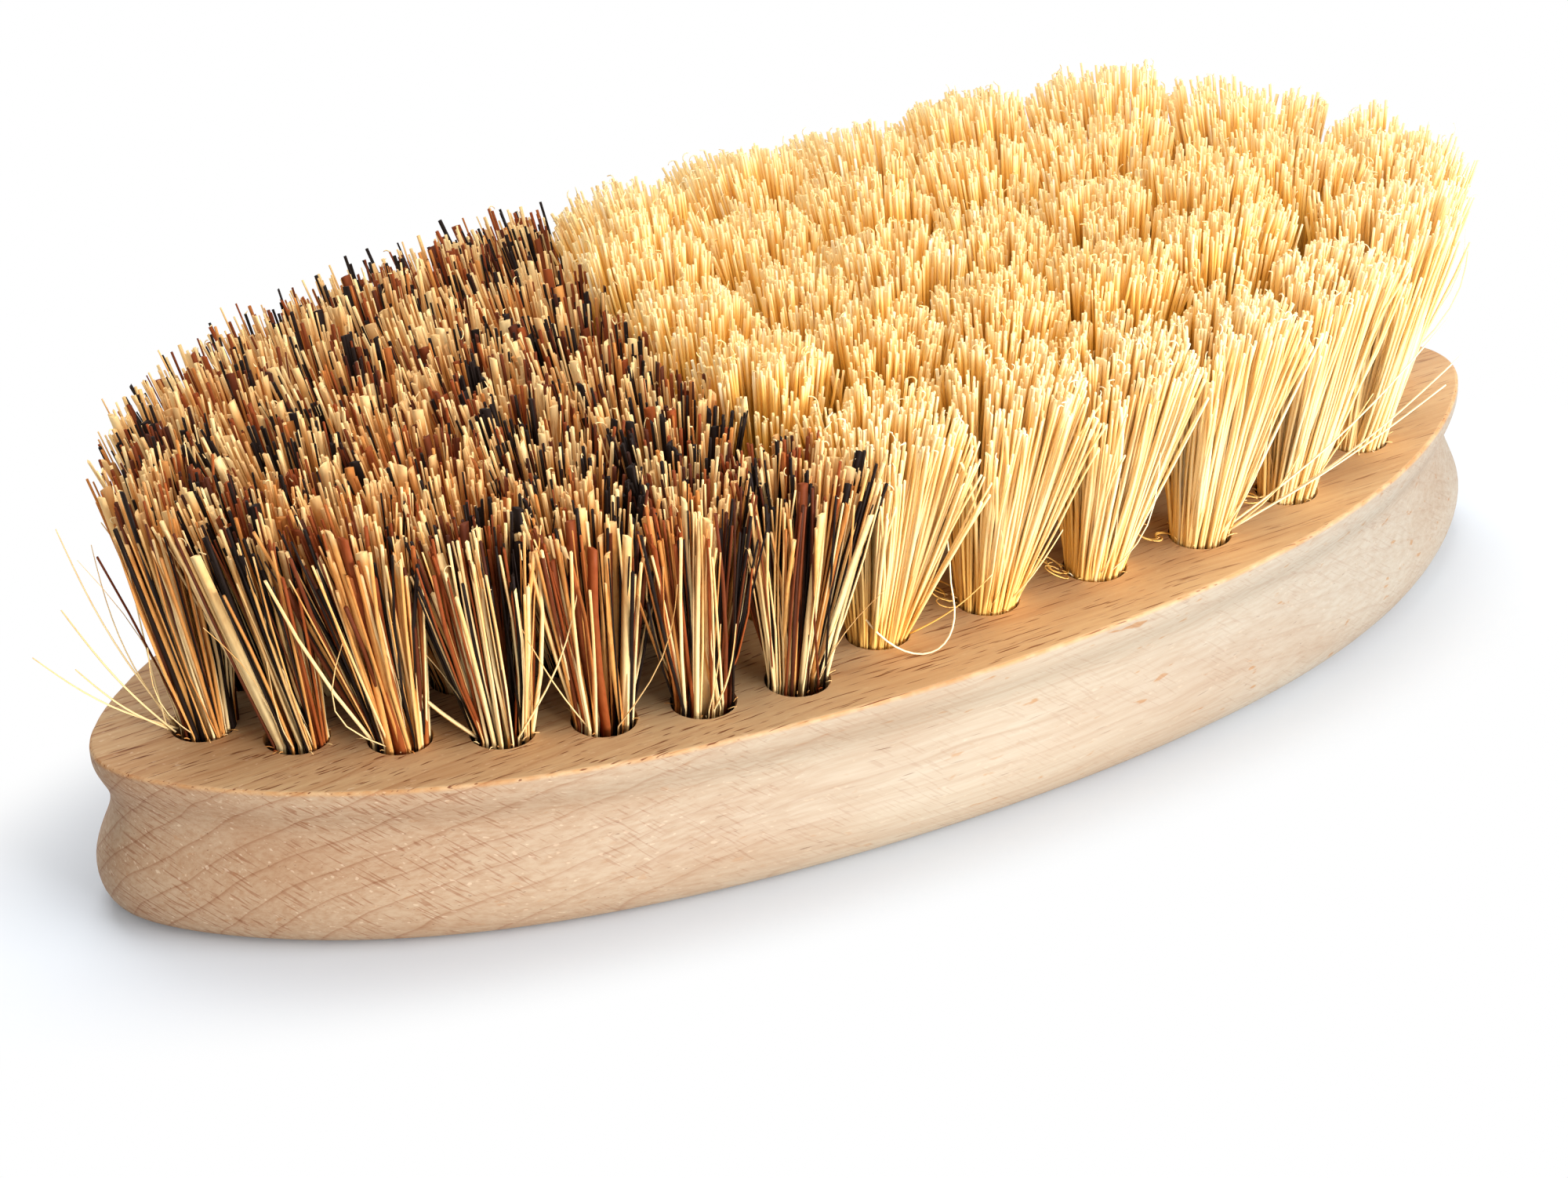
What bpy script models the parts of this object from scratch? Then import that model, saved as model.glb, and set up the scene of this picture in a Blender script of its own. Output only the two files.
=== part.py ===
# Vegetable brush: a waisted beech block with machine-filled tufts in blind holes.
# One half holds a stiff union fibre mix, the other half soft pale tampico fibre.
# Metres, +Z up. The brush lies on its back, with its bristles up.
# The origin is the middle of the flat underside, and +X is the length, towards the tampico end.

import math

import bmesh
import bpy
from mathutils import Matrix, Vector

MM = 0.001
COLLECTION_NAME = "vegetable_brush"
CUTTER_COLLECTION_NAME = "vegetable_brush_cutters"

# Block, seen from above
BLOCK_LENGTH = 135.0 * MM
BLOCK_WIDTH = 52.6 * MM
BLOCK_END_TAPER = 0.27
BLOCK_TAPER_POWER = 6
OUTLINE_STEPS = 64

# Block, seen from the end: underside, round belly, finger groove and lip
BLOCK_HEIGHT = 15.5 * MM
BASE_ROUND_HEIGHT = 4.2 * MM
BASE_ROUND_WIDTH = 3.0 * MM
BELLY_OVERHANG = 0.5 * MM
GROOVE_DEPTH = 1.25 * MM
GROOVE_BELOW_TOP = 4.9 * MM
LIP_THICKNESS = 0.9 * MM
LIP_ROUND = 0.35 * MM
BASE_STEPS = 4
GROOVE_STEPS = 5

# Blind holes and the tuft ends that sit in them
HOLE_RADIUS = 2.7 * MM
HOLE_DEPTH = 9.5 * MM
HOLE_SIDES = 10
DRILL_TILT_SHARE = 0.55
SEAT_CLEARANCE = 0.3 * MM
BUNDLE_SUNK = 0.4 * MM
BUNDLE_SIDES = 8

# Flat wire anchor across the folded end of each bundle, which bites into the hole's wall
ANCHOR_THICKNESS = 0.5 * MM
ANCHOR_HEIGHT = 1.6 * MM
ANCHOR_BITE = 0.45 * MM
ANCHOR_ABOVE_HOLE_END = 2.2 * MM

# Bristles above the block
BRISTLE_HEIGHT = 24.2 * MM
CROWN_DROP = 0.8 * MM
SIDE_SPLAY = 8.0 * MM
END_SPLAY = 2.5 * MM
LOCKS_IN_RING = 6
LOCK_ROOT_RADIUS = 0.6 * MM
LOCK_TIP_RADIUS = 1.1 * MM
LOCK_RING_AT_ROOT = 1.6 * MM
LOCK_RING_AT_TIP = 3.2 * MM
LOCK_ROOT_DEPTH = 0.6 * MM
UNION_LOCK_SIDES = 4
TAMPICO_LOCK_SIDES = 3
GOLDEN_TURN = math.radians(137.5)

# Places along the block are shares of its half length from here on.
# Union tufts: an arc along the rim and a shorter arc inside it, both pointed, and a middle row.
# The inner arc keeps its share of the rim arc's half width, so the rows stay apart on a narrower block.
UNION_END_MARGIN = 9.7 * MM
UNION_SIDE_MARGIN = 6.6 * MM
UNION_END_TAPER = 0.5
UNION_TAPER_POWER = 4
UNION_RIM_END_SHARE = -0.187
UNION_RIM_PITCHES = 6
UNION_INNER_END_GAP = 13.0 * MM
UNION_INNER_WIDTH_SHARE = 9.7 / 19.7
UNION_INNER_END_SHARE = -0.261
UNION_INNER_PITCHES = 3
UNION_MIDDLE_SHARES = (-0.404, -0.27)

# Tampico tufts: five rows along the block, the outer ones bending in with the rim
TAMPICO_SIDE_MARGIN = 10.1 * MM
TAMPICO_RIM_MARGIN = 7.2 * MM
TAMPICO_OUTER_SHARES = (-0.047, 0.756)
TAMPICO_OUTER_COUNT = 6
TAMPICO_NEXT_SHARES = (-0.127, 0.519)
TAMPICO_NEXT_COUNT = 5
TAMPICO_MIDDLE_SHARES = (-0.138, 0.873)
TAMPICO_MIDDLE_COUNT = 8


def pointed_oval(angle, half_length, half_width, taper, power):
    """Point of an ellipse whose ends are drawn in."""
    x = half_length * math.cos(angle)
    pull = 1.0 - taper * abs(math.cos(angle)) ** power
    return Vector((x, half_width * math.sin(angle) * pull))


def rim_point(angle):
    """Point of the block's rim, seen from above."""
    return pointed_oval(angle, BLOCK_LENGTH / 2, BLOCK_WIDTH / 2, BLOCK_END_TAPER, BLOCK_TAPER_POWER)


def rim_half_width(x):
    """Half width of the block's rim at a place along its length."""
    angle = math.acos(max(-1.0, min(1.0, x / (BLOCK_LENGTH / 2))))
    return rim_point(angle).y


def offset_rim(offset):
    """The rim's outline moved outwards by the offset, as a ring of points."""
    step = 0.001
    ring = []
    for index in range(OUTLINE_STEPS):
        angle = math.tau * index / OUTLINE_STEPS
        tangent = rim_point(angle + step) - rim_point(angle - step)
        normal = Vector((tangent.y, -tangent.x)).normalized()
        ring.append(rim_point(angle) + normal * offset)
    return ring


def side_profile():
    """(offset from the rim, height) pairs from the underside up to the bristle face."""
    groove_height = BLOCK_HEIGHT - GROOVE_BELOW_TOP
    lip_height = BLOCK_HEIGHT - LIP_THICKNESS
    profile = []
    for step in range(BASE_STEPS + 1):
        turn = math.pi / 2 * step / BASE_STEPS
        inset = BASE_ROUND_WIDTH * (1.0 - math.sin(turn))
        profile.append((BELLY_OVERHANG - inset, BASE_ROUND_HEIGHT * (1.0 - math.cos(turn))))
    for low, high, start, end in (
        (BASE_ROUND_HEIGHT, groove_height, BELLY_OVERHANG, -GROOVE_DEPTH),
        (groove_height, lip_height, -GROOVE_DEPTH, 0.0),
    ):
        for step in range(1, GROOVE_STEPS + 1):
            share = step / GROOVE_STEPS
            blend = (1.0 - math.cos(math.pi * share)) / 2
            profile.append((start + (end - start) * blend, low + (high - low) * share))
    profile.append((0.0, BLOCK_HEIGHT - LIP_ROUND))
    profile.append((-LIP_ROUND, BLOCK_HEIGHT))
    return profile


def new_object(name, bm, collection):
    """An object in the collection from a bmesh, whose faces are turned outwards first."""
    bmesh.ops.recalc_face_normals(bm, faces=bm.faces)
    mesh = bpy.data.meshes.new(name)
    bm.to_mesh(mesh)
    bm.free()
    obj = bpy.data.objects.new(name, mesh)
    collection.objects.link(obj)
    return obj


def new_cutter(name, bm, collection):
    """A helper solid for a Boolean, drawn as wire and left out of the part."""
    obj = new_object(name, bm, collection)
    obj.hide_render = True
    obj.display_type = "WIRE"
    return obj


def add_boolean(obj, name, operation, operand):
    """A Boolean modifier with the exact solver."""
    modifier = obj.modifiers.new(name, "BOOLEAN")
    modifier.operation = operation
    modifier.solver = "EXACT"
    modifier.object = operand


def add_rod(bm, start, end, start_radius, end_radius, sides, twist=0.0):
    """A closed tapered rod between two points."""
    axis = end - start
    turn = axis.to_track_quat("Z", "X").to_matrix().to_4x4()
    place = Matrix.Translation((start + end) / 2) @ turn @ Matrix.Rotation(twist, 4, "Z")
    bmesh.ops.create_cone(
        bm,
        cap_ends=True,
        segments=sides,
        radius1=start_radius,
        radius2=end_radius,
        depth=axis.length,
        matrix=place,
    )


def add_bar(bm, centre, axis, length, thickness, height):
    """A closed bar along X, upright on the given axis."""
    across = axis.cross(Vector((1, 0, 0))).normalized()
    along = across.cross(axis).normalized()
    turn = Matrix((along, across, axis)).transposed().to_4x4()
    size = Matrix.Diagonal((length, thickness, height, 1.0))
    bmesh.ops.create_cube(bm, size=1.0, matrix=Matrix.Translation(centre) @ turn @ size)


def principled(name, colour, roughness, metallic=0.0):
    """A material with a Principled BSDF."""
    material = bpy.data.materials.new(name)
    material.use_nodes = True
    shader = material.node_tree.nodes["Principled BSDF"]
    shader.inputs["Base Color"].default_value = (*colour, 1.0)
    shader.inputs["Roughness"].default_value = roughness
    shader.inputs["Metallic"].default_value = metallic
    return material


def beech_wood():
    return principled("beech_wood", (0.68, 0.46, 0.27), 0.55)


def union_fibre():
    return principled("union_fibre", (0.32, 0.17, 0.07), 0.6)


def tampico_fibre():
    return principled("tampico_fibre", (0.85, 0.66, 0.36), 0.6)


def splay(place):
    """How far a tuft's middle has moved outwards at its tip, for a hole at this place."""
    end_share = place.x / (BLOCK_LENGTH / 2 - UNION_END_MARGIN)
    side_share = place.y / (BLOCK_WIDTH / 2 - UNION_SIDE_MARGIN)
    return Vector((END_SPLAY * end_share * abs(end_share), SIDE_SPLAY * side_share))


def drill_axis(place):
    """Direction of a hole, up and out of its mouth."""
    lean = splay(place) * DRILL_TILT_SHARE
    return Vector((lean.x, lean.y, BRISTLE_HEIGHT)).normalized()


def mouth(place):
    """Middle of a hole's mouth on the bristle face."""
    return Vector((place.x, place.y, BLOCK_HEIGHT))


def anchor_centre(place):
    """Middle of the anchor in a hole."""
    return mouth(place) - drill_axis(place) * (HOLE_DEPTH - ANCHOR_ABOVE_HOLE_END)


def mirrored(places):
    """Each place and its mirror image across the block's length."""
    both = []
    for place in places:
        both.append(place)
        both.append(Vector((place.x, -place.y)))
    return both


def along_block(share):
    """The X of a share of the block's half length."""
    return share * BLOCK_LENGTH / 2


def even_row(run, count):
    """Evenly spaced X values between the two shares of a run."""
    first, last = along_block(run[0]), along_block(run[1])
    return [first + (last - first) * index / (count - 1) for index in range(count)]


def arc_places(half_length, half_width, end_x, pitches):
    """Places at an even pitch along a pointed arc: its tip, then one side up to end_x."""
    fine = 600
    last_angle = math.acos(end_x / half_length)
    points = []
    for index in range(fine + 1):
        angle = math.pi + (last_angle - math.pi) * index / fine
        points.append(pointed_oval(angle, half_length, half_width, UNION_END_TAPER, UNION_TAPER_POWER))
    run = [0.0]
    for before, after in zip(points, points[1:]):
        run.append(run[-1] + (after - before).length)
    places = []
    for pitch in range(pitches + 1):
        target = run[-1] * pitch / pitches
        nearest = min(range(len(run)), key=lambda index: abs(run[index] - target))
        places.append(points[nearest])
    places[0].y = 0.0
    return places


def union_places():
    """Middles of the union holes on the bristle face."""
    rim_length = BLOCK_LENGTH / 2 - UNION_END_MARGIN
    rim_width = BLOCK_WIDTH / 2 - UNION_SIDE_MARGIN
    rim = arc_places(rim_length, rim_width, along_block(UNION_RIM_END_SHARE), UNION_RIM_PITCHES)
    inner = arc_places(
        rim_length - UNION_INNER_END_GAP,
        rim_width * UNION_INNER_WIDTH_SHARE,
        along_block(UNION_INNER_END_SHARE),
        UNION_INNER_PITCHES,
    )
    places = [rim[0]] + mirrored(rim[1:]) + [inner[0]] + mirrored(inner[1:])
    places += [Vector((along_block(share), 0.0)) for share in UNION_MIDDLE_SHARES]
    return places


def tampico_places():
    """Middles of the tampico holes on the bristle face."""
    widest = BLOCK_WIDTH / 2 - TAMPICO_SIDE_MARGIN
    outer = []
    for x in even_row(TAMPICO_OUTER_SHARES, TAMPICO_OUTER_COUNT):
        y = min(widest, rim_half_width(x) - TAMPICO_RIM_MARGIN)
        outer.append(Vector((x, y)))
    following = []
    for x in even_row(TAMPICO_NEXT_SHARES, TAMPICO_NEXT_COUNT):
        y = min(widest, rim_half_width(x) - TAMPICO_RIM_MARGIN) / 2
        following.append(Vector((x, y)))
    middle = [Vector((x, 0.0)) for x in even_row(TAMPICO_MIDDLE_SHARES, TAMPICO_MIDDLE_COUNT)]
    return mirrored(outer) + mirrored(following) + middle


def build_block(places, material, parts, cutters):
    """The block: its outline lofted up the side profile, with a blind hole for each tuft."""
    bm = bmesh.new()
    profile = side_profile()
    offset, height = profile[0]
    face = bm.faces.new([bm.verts.new((p.x, p.y, height)) for p in offset_rim(offset)])
    for offset, height in profile[1:]:
        face = bmesh.ops.extrude_discrete_faces(bm, faces=[face])["faces"][0]
        for vertex, point in zip(face.verts, offset_rim(offset)):
            vertex.co = (point.x, point.y, height)
    foot = bm.faces.new([bm.verts.new((p.x, p.y, 0.0)) for p in offset_rim(profile[0][0])])
    foot.normal_flip()
    bmesh.ops.remove_doubles(bm, verts=bm.verts, dist=0.001 * MM)
    block = new_object("block", bm, parts)

    holes = bmesh.new()
    pockets = bmesh.new()
    pocket_length = 2 * (HOLE_RADIUS + ANCHOR_BITE + SEAT_CLEARANCE)
    for place in places:
        axis = drill_axis(place)
        above = mouth(place) + axis * 2 * HOLE_RADIUS
        add_rod(holes, mouth(place) - axis * HOLE_DEPTH, above, HOLE_RADIUS, HOLE_RADIUS, HOLE_SIDES)
        add_bar(
            pockets,
            anchor_centre(place),
            axis,
            pocket_length,
            ANCHOR_THICKNESS + 2 * SEAT_CLEARANCE,
            ANCHOR_HEIGHT + 2 * SEAT_CLEARANCE,
        )
    add_boolean(block, "holes", "DIFFERENCE", new_cutter("tuft_holes", holes, cutters))
    add_boolean(block, "pockets", "DIFFERENCE", new_cutter("anchor_pockets", pockets, cutters))
    block.data.materials.append(material)
    block.data.shade_smooth()
    block.data.set_sharp_from_angle(angle=math.radians(35))


def tip_height(place):
    """Height of the trimmed bristle ends, which fall away towards the edge of the field."""
    end_share = place.x / (BLOCK_LENGTH / 2)
    side_share = place.y / (BLOCK_WIDTH / 2)
    edge = end_share**2 + side_share**2
    return BLOCK_HEIGHT + BRISTLE_HEIGHT - CROWN_DROP * edge**2


def build_tuft(name, place, index, sides, material, parts, cutters):
    """One tuft: the folded bundle in its hole, its anchor, and its locks of bristle above."""
    axis = drill_axis(place)
    top = mouth(place) - axis * BUNDLE_SUNK
    bottom = mouth(place) - axis * (HOLE_DEPTH - SEAT_CLEARANCE)
    radius = HOLE_RADIUS - SEAT_CLEARANCE
    bm = bmesh.new()
    add_rod(bm, bottom, top, radius, radius, BUNDLE_SIDES)
    tuft = new_object(name, bm, parts)

    anchor = bmesh.new()
    anchor_length = 2 * (HOLE_RADIUS + ANCHOR_BITE)
    add_bar(anchor, anchor_centre(place), axis, anchor_length, ANCHOR_THICKNESS, ANCHOR_HEIGHT)
    add_boolean(tuft, "anchor", "UNION", new_cutter(name + "_anchor", anchor, cutters))

    locks = bmesh.new()
    tilt = Vector((0, 0, 1)).rotation_difference(axis)
    spread = place + splay(place)
    for lock in range(LOCKS_IN_RING + 1):
        ring = min(lock, 1)
        turn = math.tau * lock / LOCKS_IN_RING + GOLDEN_TURN * index
        way = Vector((math.cos(turn), math.sin(turn), 0.0)) * ring
        root = top - axis * LOCK_ROOT_DEPTH + tilt @ (way * LOCK_RING_AT_ROOT)
        end = spread + way.to_2d() * LOCK_RING_AT_TIP
        tip = Vector((end.x, end.y, tip_height(end)))
        add_rod(locks, root, tip, LOCK_ROOT_RADIUS, LOCK_TIP_RADIUS, sides, turn)
    add_boolean(tuft, "locks", "UNION", new_cutter(name + "_locks", locks, cutters))
    tuft.data.materials.append(material)


def build():
    """Clears the scene and builds the brush."""
    for obj in list(bpy.data.objects):
        bpy.data.objects.remove(obj)
    parts = bpy.data.collections.new(COLLECTION_NAME)
    cutters = bpy.data.collections.new(CUTTER_COLLECTION_NAME)
    bpy.context.scene.collection.children.link(parts)
    bpy.context.scene.collection.children.link(cutters)
    union = union_places()
    tampico = tampico_places()
    build_block(union + tampico, beech_wood(), parts, cutters)
    fibre = union_fibre()
    for index, place in enumerate(union, 1):
        name = f"union_tuft_{index:02d}"
        build_tuft(name, place, index, UNION_LOCK_SIDES, fibre, parts, cutters)
    fibre = tampico_fibre()
    for index, place in enumerate(tampico, 1):
        name = f"tampico_tuft_{index:02d}"
        build_tuft(name, place, index, TAMPICO_LOCK_SIDES, fibre, parts, cutters)


build()
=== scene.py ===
# Vegetable brush: a planed beech block, stiff union fibre tufts at one end and pale tampico tufts at the other.
# Everything is in metres in the frame's own axes: +X towards the tampico end, +Z up through the bristles.
import math

import bmesh
import bpy
import numpy as np
from bpy.props import FloatProperty, FloatVectorProperty, IntProperty, PointerProperty
from mathutils import Matrix, Vector, noise


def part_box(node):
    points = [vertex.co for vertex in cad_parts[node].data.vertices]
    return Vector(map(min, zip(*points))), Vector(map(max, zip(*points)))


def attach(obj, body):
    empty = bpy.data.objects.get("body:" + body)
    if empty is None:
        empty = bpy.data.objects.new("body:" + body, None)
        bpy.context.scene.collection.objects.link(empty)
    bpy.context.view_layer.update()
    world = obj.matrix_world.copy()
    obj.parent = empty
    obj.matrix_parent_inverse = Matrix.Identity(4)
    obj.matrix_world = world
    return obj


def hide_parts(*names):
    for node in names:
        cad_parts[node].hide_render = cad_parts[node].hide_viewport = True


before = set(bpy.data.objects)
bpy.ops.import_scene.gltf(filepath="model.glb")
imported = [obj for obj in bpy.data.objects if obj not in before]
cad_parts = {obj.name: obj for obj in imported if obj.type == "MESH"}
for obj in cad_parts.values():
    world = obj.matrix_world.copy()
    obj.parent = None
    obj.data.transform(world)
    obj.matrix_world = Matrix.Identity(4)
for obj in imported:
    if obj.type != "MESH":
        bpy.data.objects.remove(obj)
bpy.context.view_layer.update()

bl_info = {
    "name": "Vegetable Brush",
    "version": (1, 0, 0),
    "blender": (4, 5, 0),
    "location": "View3D > Sidebar > Brush",
    "description": "Dresses a vegetable brush: beech block, union fibre and tampico tufts, and a studio",
    "category": "Object",
}

MM = 0.001
BLOCK_LOW, BLOCK_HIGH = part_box("block")
FACE_Z = BLOCK_HIGH.z
UP = np.array((0.0, 0.0, 1.0))


def srgb(red, green, blue):
    """Linear colour from display values of 0 to 255."""
    linear = []
    for value in (red, green, blue):
        share = value / 255.0
        linear.append(share / 12.92 if share <= 0.04045 else ((share + 0.055) / 1.055) ** 2.4)
    return tuple(linear)


def length(name, description, value):
    """A size property in metres, from millimetres."""
    return FloatProperty(
        name=name, description=description, default=value * MM, unit="LENGTH", subtype="DISTANCE", precision=5
    )


def colour(name, description, *display):
    """A colour property from display values of 0 to 255."""
    return FloatVectorProperty(
        name=name, description=description, default=srgb(*display), subtype="COLOR", size=3, min=0.0, max=1.0
    )


def amount(name, description, value, highest=1.0):
    """A plain number property."""
    return FloatProperty(name=name, description=description, default=value, min=0.0, max=highest)


def angle(name, description, degrees):
    """An angle property from degrees."""
    return FloatProperty(name=name, description=description, default=math.radians(degrees), subtype="ANGLE")


class BlockSettings(bpy.types.PropertyGroup):
    """Shape and finish of the beech block."""

    belly: length("Belly", "How far the round belly stands out past the rim", 0.5)
    base_width: length("Base round width", "Width of the rounding along the underside", 3.0)
    base_height: length("Base round height", "Height of the widest line of the belly", 4.2)
    groove_depth: length("Groove depth", "How far the finger groove goes in from the rim", 1.25)
    groove_drop: length("Groove drop", "Deepest line of the groove below the bristle face", 4.9)
    lip: length("Lip", "Thickness of the lip under the bristle face", 0.9)
    lip_round: length("Lip round", "Radius of the worn edge of the lip", 0.35)
    fuzz: length("Edge fuzz", "How far the lip's edge wanders", 0.05)
    hole_radius: length("Hole radius", "Radius of the tuft holes", 2.7)
    hole_depth: length("Hole depth", "Depth of the tuft holes", 9.5)
    end_taper: amount("End taper", "How much the ends are drawn in to a point", 0.27)
    end: colour("End wood", "Colour of the side at the tampico end", 153, 144, 130)
    pale: colour("Pale wood", "Colour of the side in the middle", 170, 156, 136)
    tan: colour("Tan wood", "Colour of the side at the union end", 170, 144, 116)
    face: colour("Planed face", "Colour of the bristle face", 197, 165, 124)
    ring_gap: length("Ring gap", "Distance between growth rings", 2.3)


class UnionSettings(bpy.types.PropertyGroup):
    """Fibres of a union tuft."""

    fibres: IntProperty(name="Fibres", description="Fibres in a tuft", default=300, min=20, max=600)
    width: length("Width", "Middle width of a fibre", 0.29)
    ribbon: length("Ribbon", "Width of the broad flat fibres", 0.95)
    root_radius: length("Root radius", "Radius of the tuft at the hole's mouth", 2.45)
    reach: length("Reach", "How far tips stand from the tuft's middle", 7.8)
    longest: length("Longest", "Length of the longest fibres above the block", 25.4)
    uneven: length("Uneven tips", "How far tips fall short of the trimmed height", 1.8)
    dark: colour("Dark fibre", "Nearly black fibres", 30, 19, 14)
    red: colour("Red fibre", "Reddish brown fibres", 156, 78, 34)
    gold: colour("Gold fibre", "Golden tan fibres", 236, 180, 104)
    cream: colour("Cream fibre", "The palest fibres", 253, 225, 166)


class TampicoSettings(bpy.types.PropertyGroup):
    """Fibres of a tampico tuft."""

    fibres: IntProperty(name="Fibres", description="Fibres in a tuft", default=430, min=20, max=900)
    width: length("Width", "Middle width of a fibre", 0.30)
    root_radius: length("Root radius", "Radius of the tuft at the hole's mouth", 2.5)
    reach: length("Reach", "How far tips stand from the tuft's middle", 8.8)
    longest: length("Longest", "Length of the longest fibres above the block", 25.4)
    uneven: length("Uneven tips", "How far tips fall short of the trimmed height", 0.8)
    straw: colour("Straw fibre", "Main colour of the fibres", 253, 206, 115)
    amber: colour("Amber fibre", "Darker fibres", 255, 199, 97)
    # Painted shade: the colour of fibres low in the middle of the field
    deep: colour("Deep fibre", "Fibres low in the middle of the field", 255, 214, 112)
    # Also used for the painted light on the lower bodies of the outer tufts
    pale: colour("Pale fibre", "Bleached fibres and curled tips", 255, 240, 200)


class StudioSettings(bpy.types.PropertyGroup):
    """Camera, floor and lights."""

    azimuth: angle("Azimuth", "Camera's turn round the brush", -28.2139)
    elevation: angle("Elevation", "Camera's height as an angle", 30.0)
    roll: angle("Roll", "Camera's tilt sideways", -1.7625)
    distance: length("Distance", "From the camera to the point it looks at", 400.0)
    lens: FloatProperty(name="Lens", description="Focal length in millimetres", default=106.57, min=10.0, max=400.0)
    overhead: amount("Overhead light", "Watts of the soft light above", 4.4, 200.0)
    key: amount("Key light", "Watts of the soft light from the front right", 12.0, 200.0)
    fill: amount("Fill light", "Watts of the low soft light from the front", 9.5, 200.0)
    dome: amount("Dome", "Strength of the even light all round", 0.70, 5.0)
    floor: colour("Floor", "Colour of the floor", 212, 217, 223)


class BrushSettings(bpy.types.PropertyGroup):
    """All settings of the vegetable brush."""

    block: PointerProperty(type=BlockSettings)
    union: PointerProperty(type=UnionSettings)
    tampico: PointerProperty(type=TampicoSettings)
    studio: PointerProperty(type=StudioSettings)


def brush_settings():
    """The brush's settings in the current scene."""
    return bpy.context.scene.vegetable_brush


# Where the tufts stand, read from their solids

HALF_LENGTH, HALF_WIDTH = 67.5, 26.3  # of the block's rim, in millimetres
RIM_SHARE = 0.62  # tufts further out than this share of the rim are rim tufts
SUNK_SHARE = 0.208  # how deep a tuft's foot lies under the face, over how high its locks end above it
BRISTLE_HEIGHT = 24.2  # of the trimmed bristles above the face, in millimetres
HOLE_LEAN = 0.55  # how far the holes lean, over how far the bristles lean
FOOT_SLICE, LOCK_HEIGHT = 0.85 * MM, 30.0 * MM  # thickness of a tuft's foot, and a height that only its locks pass
UNION_END = -8.5  # x beyond which no union fibre ends, in millimetres
RIM_PUSH = 0.8 * MM  # how far the tips of the union rim tufts lean outwards

# How far the tips lean towards -X past their solids' locks, and how much further they do at the far side
# by the border of the halves, in millimetres
TIP_LEAN = {"union": (3.0, 1.5), "tampico": (1.5, 3.0)}

# The outline of the field of bristle tips, seen from above: how far it reaches to the left, to the right
# and to the sides, how far it is shifted to the back, in millimetres, and how square it is
FIELD_LEFT, FIELD_RIGHT, FIELD_SIDE, FIELD_SHIFT, FIELD_POWER = 62.8, 65.5, 30.2, 1.1, 2.2


def rise(value, start, width):
    """0 up to a start, 1 from a width past it on, and straight between."""
    return np.clip((value - start) / width, 0.0, 1.0)


def unit(vectors):
    """Vectors of length 1."""
    return vectors / np.maximum(np.linalg.norm(vectors, axis=-1, keepdims=True), 1e-12)


def far_side(y):
    """1 at the far rim of the brush, 0 in its middle and in front."""
    return rise(y, 8.0 * MM, 12.0 * MM)


class Tuft:
    """A tuft's place: the middle of its hole's mouth, its hole's axis and the middle of its tips."""

    def __init__(self, node):
        points = np.array([vertex.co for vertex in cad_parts[node].data.vertices])
        points = np.unique(points.round(6), axis=0)
        foot = points[points[:, 2] < points[:, 2].min() + FOOT_SLICE, :2].mean(axis=0)
        ends = points[points[:, 2] > LOCK_HEIGHT, :2].mean(axis=0)
        x, y = middle = (foot + SUNK_SHARE * ends) / (1.0 + SUNK_SHARE)
        spread = ends - middle
        self.node = node
        self.kind, _, number = node.split("_")
        self.number = int(number)
        self.neighbours = None
        self.mouth = np.array((x, y, FACE_Z))
        self.axis = unit(np.array((*(spread * HOLE_LEAN), BRISTLE_HEIGHT * MM)))
        self.outward = unit(middle / (HALF_LENGTH**2, HALF_WIDTH**2))
        self.at_rim = np.hypot(x / (HALF_LENGTH * MM), y / (HALF_WIDTH * MM)) > RIM_SHARE
        in_union = self.kind == "union"
        # The lean fades out towards each end of the brush, and grows at the far side round x = -5 mm
        fade = rise(x, -62.0 * MM, 10.0 * MM) if in_union else rise(-x, -55.0 * MM, 25.0 * MM)
        border = far_side(y) * max(1.0 - abs(x + 5.0 * MM) / (26.0 * MM), 0.0)
        usual, further = TIP_LEAN[self.kind]
        self.top = middle + spread - (usual * MM * fade + further * MM * border, 0.0)
        if in_union and self.at_rim:
            self.top += RIM_PUSH * self.outward


def tufts_of(kind):
    """The tufts of a kind, in the order of their nodes, each with its neighbours' tops."""
    tufts = [Tuft(node) for node in sorted(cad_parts) if "_tuft_" in node]
    tops = np.stack([tuft.top for tuft in tufts])
    for index, tuft in enumerate(tufts):
        tuft.neighbours = np.delete(tops, index, axis=0)
    return [tuft for tuft in tufts if tuft.kind == kind]


def to_nearest_other(tuft, places):
    """How far places are from the nearest other tuft's tips' middle."""
    return np.linalg.norm(places[:, None] - tuft.neighbours[None], axis=2).min(axis=1)


def field_share(places):
    """How far out places lie in the field of bristle tips: 0 in its middle, 1 at its outline."""
    x, y = places[..., 0], places[..., 1] - FIELD_SHIFT * MM
    half_length = np.where(x < 0.0, FIELD_LEFT * MM, FIELD_RIGHT * MM)
    return np.abs(x / half_length) ** FIELD_POWER + np.abs(y / (FIELD_SIDE * MM)) ** FIELD_POWER


def back_crest(places):
    """Where the far side of the field stands highest: 1 there, and 0 away from it."""
    along = (places[..., 0] - 45.0 * MM) / (9.0 * MM)
    return np.exp(-(along**2)) * rise(places[..., 1], 0.0, 22.0 * MM)


def trimmed_height(places):
    """Height at which the bristles are trimmed, for an array of places seen from above."""
    along = places[..., 0] / (HALF_LENGTH * MM)
    across = places[..., 1] / (HALF_WIDTH * MM)
    # It drops off to the right and near the left end, and rises a little towards the far side
    right, left = np.maximum(along, 0.0), np.maximum(-along - 0.75, 0.0) / 0.25
    height = BRISTLE_HEIGHT - 2.2 * right**4 - 1.2 * left**2 + 0.6 * across - 0.15 * across**4
    return FACE_Z + (height + 2.0 * back_crest(places)) * MM


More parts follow.
